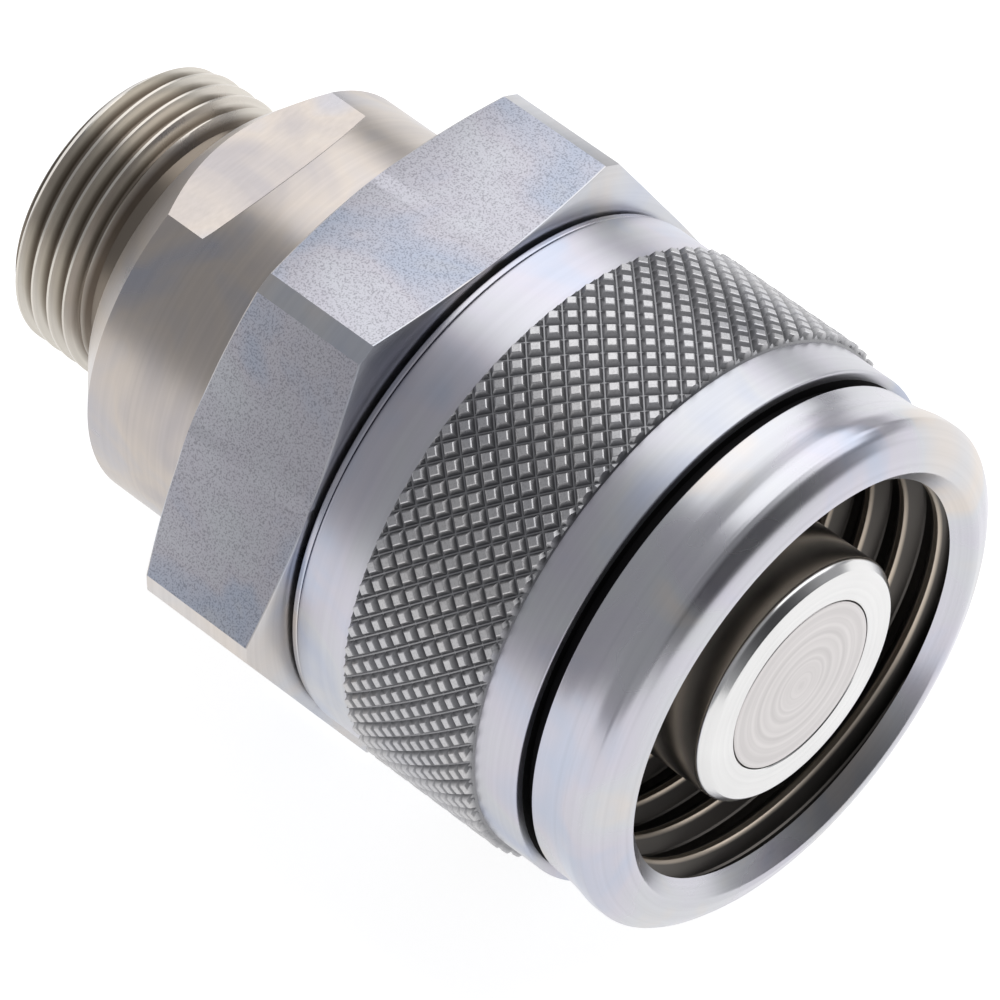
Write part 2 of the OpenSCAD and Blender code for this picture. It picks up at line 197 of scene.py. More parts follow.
def put(vert, x, radius, angle):
    vert.co = (x, -radius * math.sin(angle), radius * math.cos(angle))


def screw_surface(bm, x0, x1, pitch, steps, rows, radius_at):
    """A threaded surface from x0 to x1, all in millimetres, with a right-hand
    helix. radius_at gives the radius from the place and the share of a pitch."""
    turns = math.ceil((x1 - x0) / pitch) + 2
    start = x0 - pitch
    line = [(start + k * pitch / rows, x1 - x0) for k in range(turns * rows + 1)]
    fresh = spin_line(bm, line, steps, rise=pitch)
    for vert in fresh:
        angle = angle_of(vert.co)
        x = min(max(vert.co.x / MM, x0), x1)
        share = ((x - x0) / pitch - angle / TURN) % 1.0
        put(vert, x * MM, radius_at(x, share) * MM, angle)
    return fresh


def thread_form(share, crest, root, crest_share, root_share):
    """Radius of a symmetrical thread: flat crest, straight flanks, flat root."""
    away = abs(share - 0.5) * 2
    low = crest_share
    high = 1 - root_share
    if away <= low:
        return crest
    if away >= high:
        return root
    ease = (away - low) / (high - low)
    return crest + (root - crest) * ease


# ---------------------------------------------------------------- materials
def new_material(name):
    material = bpy.data.materials.new(name)
    material.use_nodes = True
    nodes = material.node_tree.nodes
    nodes.clear()
    output = nodes.new("ShaderNodeOutputMaterial")
    shader = nodes.new("ShaderNodeBsdfPrincipled")
    material.node_tree.links.new(shader.outputs["BSDF"], output.inputs["Surface"])
    return material, nodes, material.node_tree.links, shader


def add_noise(nodes, links, vector, scale, detail=2.0, distortion=0.0):
    noise = nodes.new("ShaderNodeTexNoise")
    noise.inputs["Scale"].default_value = scale
    noise.inputs["Detail"].default_value = detail
    noise.inputs["Distortion"].default_value = distortion
    links.new(vector, noise.inputs["Vector"])
    return noise.outputs["Fac"]


def add_ramp(nodes, links, factor, stops):
    ramp = nodes.new("ShaderNodeValToRGB")
    elements = ramp.color_ramp.elements
    while len(elements) < len(stops):
        elements.new(0.5)
    for element, (place, color) in zip(elements, stops):
        element.position = place
        element.color = (*color, 1)
    links.new(factor, ramp.inputs["Fac"])
    return ramp.outputs["Color"]


def add_mix(nodes, links, factor, a, b, mode="MIX"):
    mix = nodes.new("ShaderNodeMix")
    mix.data_type = "RGBA"
    mix.blend_type = mode
    for socket, value in ((mix.inputs[0], factor), (mix.inputs[6], a), (mix.inputs[7], b)):
        if isinstance(value, (int, float)):
            socket.default_value = value
        elif isinstance(value, tuple):
            socket.default_value = (*value, 1)
        else:
            links.new(value, socket)
    return mix.outputs[2]


def add_range(nodes, links, value, low, high, start=0.0, end=1.0):
    span = nodes.new("ShaderNodeMapRange")
    span.inputs["From Min"].default_value = start
    span.inputs["From Max"].default_value = end
    span.inputs["To Min"].default_value = low
    span.inputs["To Max"].default_value = high
    links.new(value, span.inputs["Value"])
    return span.outputs["Result"]


def turned_coordinates(nodes, links, place):
    """Place along X and distance from X, so that lines run round the axis."""
    split = nodes.new("ShaderNodeSeparateXYZ")
    links.new(place, split.inputs["Vector"])
    across = nodes.new("ShaderNodeVectorMath")
    across.operation = "MULTIPLY"
    across.inputs[1].default_value = (0, 1, 1)
    links.new(place, across.inputs[0])
    length = nodes.new("ShaderNodeVectorMath")
    length.operation = "LENGTH"
    links.new(across.outputs["Vector"], length.inputs[0])
    join = nodes.new("ShaderNodeCombineXYZ")
    links.new(split.outputs["X"], join.inputs["X"])
    links.new(length.outputs["Value"], join.inputs["Y"])
    return join.outputs["Vector"]


def plated_steel(name, tones, roughness, turned=0.0, speckle=0.0, patch_size=0.009,
                 turned_size=0.00016, speckle_size=0.00013, groove_shade=None):
    """Zinc plated, passivated steel: clouds of faint colour, the fine lines that
    turning leaves round the axis, and the speckle of a drawn bar's skin. The last
    argument is painted shade for grooves: a dark tone, then the radii in millimetres
    where the painted shade is full and where it ends."""
    material, nodes, links, shader = new_material(name)
    place = nodes.new("ShaderNodeTexCoord").outputs["Object"]
    clouds = add_noise(nodes, links, place, 1 / patch_size, detail=3, distortion=0.6)
    count = len(tones)
    stops = [(0.30 + 0.40 * k / (count - 1), tone) for k, tone in enumerate(tones)]
    color = add_ramp(nodes, links, clouds, stops)
    turned_place = turned_coordinates(nodes, links, place)
    lines = add_noise(nodes, links, turned_place, 1 / turned_size, detail=3)
    grains = add_noise(nodes, links, place, 1 / speckle_size, detail=1)
    if turned:
        shade = add_range(nodes, links, lines, 1 - 0.35 * turned, 1 + 0.35 * turned, 0.3, 0.7)
        gray = nodes.new("ShaderNodeCombineColor")
        for socket in gray.inputs[:3]:
            links.new(shade, socket)
        color = add_mix(nodes, links, 1.0, color, gray.outputs["Color"], "MULTIPLY")
    if speckle:
        dots = add_ramp(nodes, links, grains, [(0.34, (1 - speckle,) * 3), (0.52, (1, 1, 1))])
        color = add_mix(nodes, links, 1.0, color, dots, "MULTIPLY")
    # Painted shade: a dark tone blended in by distance from the axis, so grooves look shaded.
    if groove_shade:
        tone, shade_full_r, shade_end_r = groove_shade
        split = nodes.new("ShaderNodeSeparateXYZ")
        links.new(turned_place, split.inputs["Vector"])
        unshaded = add_range(nodes, links, split.outputs["Y"], 0, 1, shade_full_r * MM, shade_end_r * MM)
        color = add_mix(nodes, links, unshaded, tone, color)
    links.new(color, shader.inputs["Base Color"])
    shader.inputs["Metallic"].default_value = 1.0
    low, high = roughness
    links.new(add_range(nodes, links, clouds, low, high, 0.3, 0.7), shader.inputs["Roughness"])
    relief = nodes.new("ShaderNodeBump")
    relief.inputs["Strength"].default_value = 1.0
    relief.inputs["Distance"].default_value = 3e-6 * (turned + 2 * speckle)
    links.new(lines if turned else grains, relief.inputs["Height"])
    links.new(relief.outputs["Normal"], shader.inputs["Normal"])
    return material


def plain_material(name, color, dark, roughness, metallic=0.0, grain_size=0.0004, depth=4e-6):
    """Rubber, plastic, bronze or wire with a faint cloudiness and a fine grain."""
    material, nodes, links, shader = new_material(name)
    place = nodes.new("ShaderNodeTexCoord").outputs["Object"]
    clouds = add_noise(nodes, links, place, 500, detail=3)
    grain = add_noise(nodes, links, place, 1 / grain_size, detail=2)
    links.new(add_mix(nodes, links, clouds, dark, color), shader.inputs["Base Color"])
    shader.inputs["Metallic"].default_value = metallic
    low, high = roughness
    links.new(add_range(nodes, links, grain, low, high, 0.3, 0.7), shader.inputs["Roughness"])
    relief = nodes.new("ShaderNodeBump")
    relief.inputs["Distance"].default_value = depth
    links.new(grain, relief.inputs["Height"])
    links.new(relief.outputs["Normal"], shader.inputs["Normal"])
    return material


BLUE = (0.46, 0.49, 0.58)
LILAC = (0.53, 0.515, 0.57)
BEIGE = (0.62, 0.57, 0.53)
GRAY = (0.54, 0.545, 0.57)

sleeve_steel = plated_steel("sleeve_steel", (BLUE, LILAC, GRAY, BEIGE), (0.22, 0.32), turned=0.10,
                            patch_size=0.010, turned_size=0.0003)
# Painted shade: the internal thread is dark from 15.62 mm radius outwards, in the roots and flanks,
# and is lit at the crests.
thread_steel = plated_steel("thread_steel", ((0.58, 0.49, 0.40), (0.50, 0.44, 0.37)), (0.30, 0.42),
                            turned=0.15, groove_shade=((0.10, 0.092, 0.085), 15.62, 15.44))
band_steel = plated_steel("band_steel", (BLUE, LILAC, GRAY, BLUE), (0.30, 0.40), turned=0.10,
                          patch_size=0.010, turned_size=0.0003)
# Painted shade: the knurl is darker below 20.0 mm radius, in the grooves and on the lower flanks,
# and lighter towards the crests.
knurl_steel = plated_steel("knurl_steel", ((0.46, 0.46, 0.48), (0.56, 0.55, 0.55)), (0.30, 0.40),
                           speckle=0.15, groove_shade=((0.25, 0.25, 0.26), 20.0, 20.35))
# Painted shade: a near-black tone for the walls of the gap between the nut's waist and the grip
# ring.
gap_shade = plated_steel("gap_shade", ((0.014, 0.014, 0.016), (0.022, 0.021, 0.022)), (0.55, 0.70),
                        turned=0.15)
hex_steel = plated_steel("hex_steel", ((0.46, 0.465, 0.50), (0.45, 0.44, 0.485), (0.39, 0.42, 0.50),
                                       (0.47, 0.47, 0.49)), (0.38, 0.48), speckle=0.34,
                         patch_size=0.012)
cone_steel = plated_steel("cone_steel", (BLUE, GRAY, BEIGE), (0.26, 0.36), turned=0.12,
                          turned_size=0.0003)
adapter_steel = plated_steel("adapter_steel", ((0.40, 0.40, 0.44), (0.50, 0.45, 0.41),
                                               (0.42, 0.39, 0.39)), (0.26, 0.36), turned=0.12,
                             turned_size=0.0003)
# Painted shade: the stub thread is dark below 10.15 mm radius, in its roots and the neck, fading
# out by 10.6 mm.
stub_steel = plated_steel("stub_steel", ((0.56, 0.52, 0.47), (0.66, 0.63, 0.57)), (0.26, 0.36),
                          turned=0.12, groove_shade=((0.20, 0.17, 0.14), 10.15, 10.6))
nose_steel = plated_steel("nose_steel", ((0.66, 0.655, 0.65), (0.72, 0.715, 0.71)), (0.16, 0.24),
                          turned=0.08, turned_size=0.0003)
poppet_steel = plated_steel("poppet_steel", ((0.54, 0.515, 0.51), (0.60, 0.575, 0.57)),
                            (0.28, 0.36), turned=0.35, turned_size=0.0005)
inner_steel = plated_steel("inner_steel", ((0.52, 0.51, 0.50), (0.60, 0.59, 0.58)), (0.25, 0.35),
                           turned=0.3)
spring_steel = plain_material("spring_steel", (0.32, 0.32, 0.33), (0.22, 0.22, 0.23),
                              (0.28, 0.38), metallic=1.0)
seal_rubber = plain_material("seal_rubber", (0.018, 0.018, 0.019), (0.010, 0.010, 0.011),
                             (0.42, 0.56))
white_ptfe = plain_material("white_ptfe", (0.82, 0.81, 0.77), (0.74, 0.73, 0.69), (0.38, 0.48))
bush_bronze = plain_material("bush_bronze", (0.58, 0.40, 0.20), (0.46, 0.30, 0.14), (0.34, 0.46),
                             metallic=1.0)


# ---------------------------------------------------------------- union nut
def wire_groove(side):
    """Half circle of the wire's groove, outwards for side 1 and inwards for -1."""
    arc_steps = 8
    turns = [math.pi * (1 - k / arc_steps) for k in range(arc_steps + 1)]
    return [(x_wire + wire_groove_r * math.cos(turn),
             journal_r + side * wire_groove_r * math.sin(turn)) for turn in turns]


def make_union_nut():
    """Inner sleeve with the crowned bead, the coupling thread and the running bore."""
    steps = 288
    mouth = x_mouth / MM
    rear = x_nut_rear / MM
    bead = bead_r / MM
    crest_r = 15.4
    root_r = 16.45
    lip_r = 16.6
    pitch = 3.0
    run_out_slope = 2.5
    x_chamfer_end = mouth - (lip_r - crest_r)
    x_thread_end = x_body_front / MM + 1.0
    x_flange = x_body_front / MM - 1.5
    bore_r = washer_hi[2] / MM - 2.6
    seat_r = washer_hi[2] / MM + 0.15
    seat_len = 0.9
    face_w = 0.4
    brow_r = 18.28
    cheek_r = 19.30
    x_bead_end = mouth - 6.6
    waist_r = bead - 0.47
    waist_rise = 0.14
    bm = bmesh.new()

    def coupling_thread(x, share):
        radius = thread_form(share, crest_r, root_r, crest_share=0.15, root_share=0.26)
        run_out = crest_r + run_out_slope * (x_chamfer_end - x)
        relief_cone = lip_r - (x - x_thread_end)
        return max(min(radius, run_out), relief_cone)

    screw_surface(bm, x_thread_end, x_chamfer_end, pitch, steps, 20, coupling_thread)
    wall = outline(
        (x_chamfer_end, crest_r),
        (mouth, lip_r, 0.16),
        (mouth, lip_r + face_w, 0.10),
        (mouth - 0.45, brow_r, 0.5),
        (mouth - 1.25, cheek_r, 0.22),
        (mouth - 1.75, bead, 0.16),
        (mouth - 2.8, bead, 0.3),
        (x_bead_end + 2.3, waist_r + waist_rise, 0.5),
        (x_bead_end + 1.1, waist_r, 0.3),
        (x_bead_end, waist_r, 0.10),
        (x_bead_end, nut_core_r),
        (rear, nut_core_r, 0.15),
        (rear, seat_r, 0.10),
        (rear + seat_len, seat_r),
        (rear + seat_len, bore_r, 0.12),
        (x_wire - wire_groove_r, bore_r))
    spin_line(bm, wall, steps)
    groove = wire_groove(1)
    groove[0] = (x_wire - wire_groove_r, bore_r)
    groove[-1] = (x_wire + wire_groove_r, bore_r)
    spin_line(bm, groove, steps)
    inner = outline(
        (x_wire + wire_groove_r, bore_r),
        (x_flange, bore_r, 0.2),
        (x_flange, lip_r, 0.3),
        (x_thread_end, lip_r))
    spin_line(bm, inner, steps)
    for face in bm.faces:
        middle = face.calc_center_median()
        radius = math.hypot(middle.y, middle.z) / MM
        x = middle.x / MM
        if radius < nut_core_r - 0.05 and x < x_chamfer_end - 0.01:
            face.material_index = 1
        # Painted shade: the step wall behind the waist, in the gap before the grip ring, is
        # near-black.
        elif x < x_bead_end + 0.01 and radius < waist_r - 0.1:
            face.material_index = 2
    return finish_piece("union_nut_turned", bm, "sleeve",
                        [sleeve_steel, thread_steel, gap_shade], replaced=("union_nut",))


# ---------------------------------------------------------------- grip ring
def diamond_sheet(length, around, starts, depth):
    """A flat sheet of raised diamonds in millimetres, its length along X and
    its width along Y a whole number of diamonds, standing on Z = 0."""
    diagonal = around / starts
    side = diagonal / math.sqrt(2)
    cells = math.ceil((around + length) / diagonal / 2) + 4
    bm = bmesh.new()
    bmesh.ops.create_grid(bm, x_segments=2 * cells, y_segments=2 * cells, size=cells * side)
    bmesh.ops.rotate(bm, verts=bm.verts, cent=(0, 0, 0),
                     matrix=Matrix.Rotation(math.radians(45), 3, "Z"))
    reach_x = length / 2 + diagonal
    reach_y = around / 2 + diagonal
    stray = [v for v in bm.verts if abs(v.co.x) > reach_x or abs(v.co.y) > reach_y]
    bmesh.ops.delete(bm, geom=stray, context="VERTS")
    diamonds = bm.faces[:]
    broken = 0.05
    groove_floor = (0.05, 0.0)
    flank = (0.23, depth - broken)
    broken_edge = (0.07, broken)
    for width, rise in (groove_floor, flank, broken_edge):
        bmesh.ops.inset_individual(bm, faces=diamonds, thickness=width, depth=rise,
                                   use_even_offset=True)
    for direction, reach in (((1, 0, 0), length / 2), ((0, 1, 0), around / 2)):
        for side_sign in (1, -1):
            away = Vector(direction) * side_sign
            cut_sheet(bm, away * reach, away, clear=True)
    return bm


def cut_sheet(bm, point, normal, clear=False):
    """Cuts the mesh along a plane, and with clear drops what lies past it."""
    bmesh.ops.bisect_plane(bm, geom=bm.verts[:] + bm.edges[:] + bm.faces[:], dist=1e-4,
                           plane_co=point, plane_no=normal, clear_outer=clear)


def open_edges(bm, x, reach):
    """The edges with one face that lie within reach of a place along X."""
    return [e for e in bm.edges if len(e.link_faces) == 1
            and all(abs(v.co.x - x) < reach for v in e.verts)]


def make_grip_ring():
    """Pressed-on ring: a band for marking, the diamond knurl, a smooth band."""
    front = x_grip_front / MM
    rear = x_grip_rear / MM
    crest = knurl_r / MM
    band_r = crest - 0.6
    tail_r = crest - 0.35
    depth = 0.42
    foot_slope = 2.5
    starts = 73
    x_front_foot = front - 3.6
    x_rear_foot = x_front_foot - 11.5
    x_middle = (x_front_foot + x_rear_foot) / 2
    length = x_front_foot - x_rear_foot
    bm = diamond_sheet(length, TURN * crest, starts, depth)
    for foot_r, sign in ((band_r, 1), (tail_r, -1)):
        for height in (crest - foot_r, max(crest - depth - foot_r, 0.0)):
            if height:
                cut_sheet(bm, (sign * (length / 2 - height / foot_slope), 0, 0), (sign, 0, 0))
    for vert in bm.verts:
        x, y, height = vert.co
        radius = min(crest - depth + height, band_r + foot_slope * (length / 2 - x),
                     tail_r + foot_slope * (length / 2 + x))
        at_foot = length / 2 - abs(x) < 1e-3
        if at_foot:
            radius = band_r if x > 0 else tail_r
        put(vert, (x_middle + x) * MM, radius * MM, y / crest)
    bmesh.ops.remove_doubles(bm, verts=bm.verts, dist=2e-6)
    knurled = set(bm.faces)
    shoulder = 0.06
    dark_r = 19.1
    wall = outline(
        (x_front_foot + shoulder, band_r),
        (front, band_r, 0.2),
        (front, dark_r),
        (front, nut_core_r),
        (rear, nut_core_r),
        (rear, tail_r, 0.2),
        (x_rear_foot - shoulder, tail_r))
    spin_line(bm, wall, steps=240)
    bmesh.ops.remove_doubles(bm, verts=bm.verts, dist=2e-6)
    for foot in (x_front_foot, x_rear_foot):
        bmesh.ops.bridge_loops(bm, edges=open_edges(bm, foot * MM, 1.5 * shoulder * MM))
    for face in bm.faces:
        face.material_index = 1 if face in knurled else 0
        middle = face.calc_center_median()
        radius = math.hypot(middle.y, middle.z) / MM
        # Painted shade: the inner part of the front face, inside the gap, is near-black.
        if middle.x / MM > front - 0.01 and radius < dark_r:
            face.material_index = 2
    return finish_piece("grip_ring_knurled", bm, "sleeve",
                        [band_steel, knurl_steel, gap_shade], replaced=("grip_ring",))


def make_lock_ring():
    """Thin ring that closes the rear of the sleeve."""
    rear = x_nut_rear / MM
    front = x_lock_front / MM
    bm = bmesh.new()
    bore_r = nut_core_r + 0.02
    wall = outline(
        (front, bore_r),
        (front, lock_r / MM, 0.12),
        (rear, lock_r / MM, 0.12),
        (rear, bore_r),
        (front, bore_r))
    spin_line(bm, wall, steps=240)
    return finish_piece("lock_ring_turned", bm, "sleeve", [sleeve_steel],
                        replaced=("lock_ring",))


# ---------------------------------------------------------------- hexagon body
def snapped_angle(angle, targets, step):
    """The target within half a step of an angle, or the angle itself."""
    for target in targets:
        away = (angle - target + math.pi) % TURN - math.pi
        if abs(away) <= 0.501 * step:
            return target
    return angle


def make_hex_body():
    """Hexagon with turned corners and coned ends, and the journal before it."""
    steps = 360
    half = hex_half / MM
    outer = turned_r / MM
    front = x_hex_front / MM
    rear = x_hex_rear / MM
    front_slope = math.tan(math.radians(12))
    rear_slope = math.tan(math.radians(20))
    x_end = x_body_front / MM
    break_size = 0.10
    corner_half = math.radians(30) - math.acos(half / outer)
    targets = []
    for k in range(6):
        corner = math.radians(30 + 60 * k)
        targets += [corner - corner_half, corner + corner_half, math.radians(60 * k)]

    def edge_points(radius, x, slope, inward):
        """Three points that break the edge between a cone and a flat."""
        fall = (radius - half) * slope
        size = min(break_size, 0.6 * (radius - half))
        edge = Vector((x + inward * fall, radius))
        on_cone = Vector((x + inward * (radius - size - half) * slope, radius - size))
        on_flat = edge + Vector((inward * size, 0))
        return on_cone, on_cone * 0.25 + edge * 0.5 + on_flat * 0.25, on_flat

    bm = bmesh.new()
    stand_in = [front - 0.2 * k for k in range(4)] + [rear + 0.2 * k for k in range(3, -1, -1)]
    spin_line(bm, [(x, half) for x in stand_in], steps)
    roles = {round(x, 4): k for k, x in enumerate(stand_in)}
    for vert in bm.verts:
        role = roles[round(vert.co.x / MM, 4)]
        angle = snapped_angle(angle_of(vert.co), targets, TURN / steps)
        local = (angle + math.radians(30)) % math.radians(60) - math.radians(30)
        radius = min(half / math.cos(local), outer)
        if role in (1, 2, 3):
            x, radius = edge_points(radius, front, front_slope, -1)[role - 1]
        elif role in (4, 5, 6):
            x, radius = edge_points(radius, rear, rear_slope, 1)[6 - role]
        else:
            x, radius = (front if role == 0 else rear), half
        put(vert, x * MM, radius * MM, angle)
    bm.normal_update()
    x_seal = seal_hi[0] / MM + 0.08
    dust_len = 1.6
    dust_depth = 1.4
    journal = outline(
        (front, half),
        (front, journal_r, 0.15),
        (x_wire - wire_groove_r, journal_r))
    spin_turned(bm, journal, steps, targets)
    spin_turned(bm, wire_groove(-1), steps, targets)
    x_web_rear = x_web_front - web_len
    x_land_rear = x_adapter_front / MM - adapter_land_len
    adapter_thread_r = adapter_land_r + adapter_thread_step
    mouth = outline(
        (x_wire + wire_groove_r, journal_r),
        (x_seal - dust_len, journal_r, 0.08),
        (x_seal - dust_len, journal_r - dust_depth),
        (x_seal, journal_r - dust_depth),
        (x_seal, journal_r, 0.08),
        (x_end, journal_r, 0.3),
        (x_end, body_bore_r, 0.2),
        (x_web_front, body_bore_r),
        (x_web_front, web_r),
        (x_web_rear, web_r),
        (x_web_rear, adapter_land_r),
        (x_land_rear, adapter_land_r, 0.2),
        (x_land_rear, adapter_thread_r),
        (rear, adapter_thread_r, 0.2),
        (rear, half))
    spin_turned(bm, mouth, steps, targets)
    bmesh.ops.remove_doubles(bm, verts=bm.verts, dist=2e-6)
    for face in bm.faces:
        middle = face.calc_center_median()
        angle = angle_of(middle)
        local = (angle + math.radians(30)) % math.radians(60) - math.radians(30)
        reach = math.hypot(middle.y, middle.z) * math.cos(local)
        on_flat = abs(reach - hex_half) < 5e-6 and abs(face.normal.x) < 0.02
        face.material_index = 1 if on_flat else 0
    return finish_piece("hex_body_milled", bm, "body", [cone_steel, hex_steel],
                        replaced=("hex_body",), sharp_deg=20)


def spin_turned(bm, points, steps, targets):
    """Turns a line about X with its columns at the same angles as the hexagon's."""
    snap_columns(spin_line(bm, points, steps), steps, targets)


def snap_columns(verts, steps, targets):
    """Turns each vertex to the target angle that its column stands for, if any."""
    for vert in verts:
        angle = snapped_angle(angle_of(vert.co), targets, TURN / steps)
        put(vert, vert.co.x, math.hypot(vert.co.y, vert.co.z), angle)


# ---------------------------------------------------------------- rear adapter
def make_rear_adapter():
    """Collar with two milled flats, cone, relief, M22 x 1.5 stub and socket."""
    steps = 240
    collar = collar_r / MM
    hex_rear = x_hex_rear / MM
    stub_end = x_stub_end / MM
    cone_len = 3.3
    x_collar = hex_rear - 11.9
    x_cone = x_collar - cone_len
    x_thread = x_cone - 2.6
    cone_r = collar - cone_len
    cone_start = 0.35
    stub_r = 11.0
    stub_end_r = 10.0
    outside_r = 9.0
    neck_r = stub_r - 1.15
    flat_half = 14.0
    cutter_r = 20.0
    side_len = 3.2
    pitch = 1.5
    root_r = stub_r - 0.6134 * pitch
    half_angle = math.acos(flat_half / collar)
    half_chord = collar * math.sin(half_angle)
    x_cutter = x_collar + side_len - math.sqrt(cutter_r ** 2 - half_chord ** 2)
    targets = [half_angle, -half_angle, math.pi - half_angle, math.pi + half_angle]
    edge = 0.10
    fillet = 0.8
    bm = bmesh.new()

    # collar and cone; the middle rows are then led along the milled flats' outline
    ledge_rows = [(x_collar + 6 - 0.2 * k, collar) for k in range(6)]
    cone_top = (x_cone + cone_start, cone_r + cone_start)
    rim = [(hex_rear, collar), *ledge_rows, (x_collar, collar), cone_top]
    spin_line(bm, rim, steps)
    rows = {round(x, 4): k for k, (x, _) in enumerate(rim)}
    for vert in bm.verts:
        row = rows[round(vert.co.x / MM, 4)]
        angle = snapped_angle(angle_of(vert.co), targets, TURN / steps)
        if row in (0, 8):
            put(vert, vert.co.x, math.hypot(vert.co.y, vert.co.z), angle)
            continue
        off_top = min(abs(angle), abs(abs(angle) - math.pi))
        inside = off_top < half_angle - 1e-6
        across = collar * math.sin(min(off_top, half_angle))
        x_ledge = x_cutter + math.sqrt(cutter_r ** 2 - across ** 2)
        height = collar * math.cos(off_top)
        drop = height - flat_half if inside else 0.0
        broken = min(edge, 0.3 * drop)
        foot = min(fillet, 0.6 * drop)
        if row == 7:
            exit_r = math.hypot(across, flat_half) if inside else collar
            x = x_collar - (collar - exit_r)
            fall = drop
        else:
            x, fall = ((x_ledge + broken, 0), (x_ledge + 0.3 * broken, 0.3 * broken),
                       (x_ledge, broken), (x_ledge, drop - foot),
                       (x_ledge - 0.3 * foot, drop - 0.3 * foot),
                       (x_ledge - foot, drop))[row - 1]
        place = Vector((x, collar * math.sin(abs(angle)), height - fall))
        side = -1 if angle > 0 else 1
        top = 1 if abs(angle) < math.pi / 2 else -1
        vert.co = (place.x * MM, side * place.y * MM, top * place.z * MM)

    cone = outline(
        cone_top,
        (x_cone, cone_r, 0.12),
        (x_cone, neck_r, 0.5),
        (x_thread, neck_r))
    spin_turned(bm, cone, steps, targets)

    def stub_thread(x, share):
        radius = thread_form(share, stub_r, root_r, crest_share=0.14, root_share=0.18)
        end_cone = stub_end_r + (x - stub_end)
        neck_cone = neck_r + 1.2 * (x_thread - x)
        return min(radius, end_cone, neck_cone)

    snap_columns(screw_surface(bm, stub_end, x_thread, pitch, steps, 16, stub_thread),
                 steps, targets)
    socket_r = 7.55
    socket_flare = 1.05
    x_socket = stub_end + socket_flare / math.tan(math.radians(12))
    x_bore_step = stub_end + 7.0
    bore_r = 6.0
    room_r = 8.0
    front = x_adapter_front / MM
    x_room = front - 5.3
    land_r = adapter_land_r - screwed_play
    floor_r = land_r - seal_depth
    x_seal = front - 0.7
    x_land_rear = front - adapter_land_len
    spigot_r = adapter_land_r + adapter_thread_step - screwed_play
    socket = outline(
        (stub_end, stub_end_r),
        (stub_end, socket_r + socket_flare, 0.15),
        (x_socket, socket_r, 0.1),
        (x_bore_step, socket_r, 0.15),
        (x_bore_step, bore_r, 0.15),
        (x_room - (room_r - bore_r), bore_r, 0.4),
        (x_room, room_r, 0.4),
        (front, room_r, 0.2),
        (front, land_r, 0.4),
        (x_seal, land_r, 0.05),
        (x_seal, floor_r),
        (x_seal - seal_len, floor_r),
        (x_seal - seal_len, land_r, 0.05),
        (x_land_rear, land_r, 0.15),
        (x_land_rear, spigot_r, 0.3),
        (hex_rear, spigot_r),
        (hex_rear, collar))
    spin_turned(bm, socket, steps, targets)
    bmesh.ops.remove_doubles(bm, verts=bm.verts, dist=2e-6)
    for face in bm.faces:
        middle = face.calc_center_median()
        outside = math.hypot(middle.y, middle.z) > outside_r * MM
        threaded = outside and middle.x < (x_cone - 0.4) * MM
        face.material_index = 1 if threaded else 0
    return finish_piece("rear_adapter_turned", bm, "body",
                        [adapter_steel, stub_steel], replaced=("rear_adapter",), sharp_deg=20)


# ---------------------------------------------------------------- nose and poppet
def make_nose():
    """The tube that the mating half slides over, with its shoulder and spigot."""
    bore_r = poppet_r + 0.08
    nose_r = 9.4
    edge = 0.62
    x_face = x_body_front / MM
    shoulder_r = nose_hi[2] / MM
    spigot_r = body_bore_r - screwed_play
    floor_r = spigot_r - seal_depth
    chamber_r = 8.0
    x_chamber_front = -6.5
    x_shoulder = x_face + 2
    x_groove = x_face - 0.8
    x_rear = nose_lo[0] / MM
    x_chamber = x_groove - seal_len - 0.8
    rear_r = spigot_r - 1.6
    bore_edge = 0.06
    bm = bmesh.new()
    wall = outline(
        (-bore_edge, bore_r),
        (0, bore_r + bore_edge),
        (0, nose_r - edge, 0.12),
        (-edge, nose_r, 0.2),
        (x_shoulder, nose_r, 0.25),
        (x_shoulder, shoulder_r, 0.4),
        (x_face, shoulder_r, 0.15),
        (x_face, spigot_r),
        (x_groove, spigot_r, 0.06),
        (x_groove, floor_r),
        (x_groove - seal_len, floor_r),
        (x_groove - seal_len, spigot_r, 0.06),
        (x_rear, spigot_r, 0.4),
        (x_rear, rear_r, 0.2),
        (x_chamber - rear_r + chamber_r, rear_r, 0.4),
        (x_chamber, chamber_r, 0.4),
        (x_chamber_front, chamber_r, 0.2),
        (x_chamber_front, bore_r, 0.1),
        (-bore_edge, bore_r))
    spin_line(bm, wall, steps=192)
    return finish_piece("nose_turned", bm, "body", [nose_steel],
                        replaced=("nose",))


def make_poppet_head():
    """Flat-faced poppet; its face keeps the rings of the last cut."""
    ring_step = 0.31
    ring_depth = 0.003
    rings = int((poppet_r - 0.5) / ring_step)
    face_line = [(-ring_depth * (k % 2), k * ring_step) for k in range(rings + 1)]
    x_seal = -2.0
    x_seal_rear = x_seal - 2.45
    seal_floor_r = poppet_r - 1.52
    x_flange = -6.55
    x_flange_rear = x_flange - 1.6
    boss_r = 4.0
    flange_r = poppet_r + 0.775
    x_boss = poppet_lo[0] / MM
    hole_r = 1.95
    x_hole_end = x_boss + 5.9
    rest = outline(
        face_line[-1],
        (0, poppet_r, 0.15),
        (x_seal, poppet_r, 0.05),
        (x_seal, seal_floor_r),
        (x_seal_rear, seal_floor_r),
        (x_seal_rear, poppet_r, 0.05),
        (x_flange, poppet_r),
        (x_flange, flange_r, 0.2),
        (x_flange_rear, flange_r, 0.2),
        (x_flange_rear, boss_r, 0.3),
        (x_boss, boss_r, 0.2),
        (x_boss, hole_r),
        (x_hole_end, hole_r),
        (x_hole_end, 0))
    bm = bmesh.new()
    spin_line(bm, face_line[:-1] + rest, steps=160)
    return finish_piece("poppet_head_turned", bm, "poppet", [poppet_steel],
                        replaced=("poppet_head",))


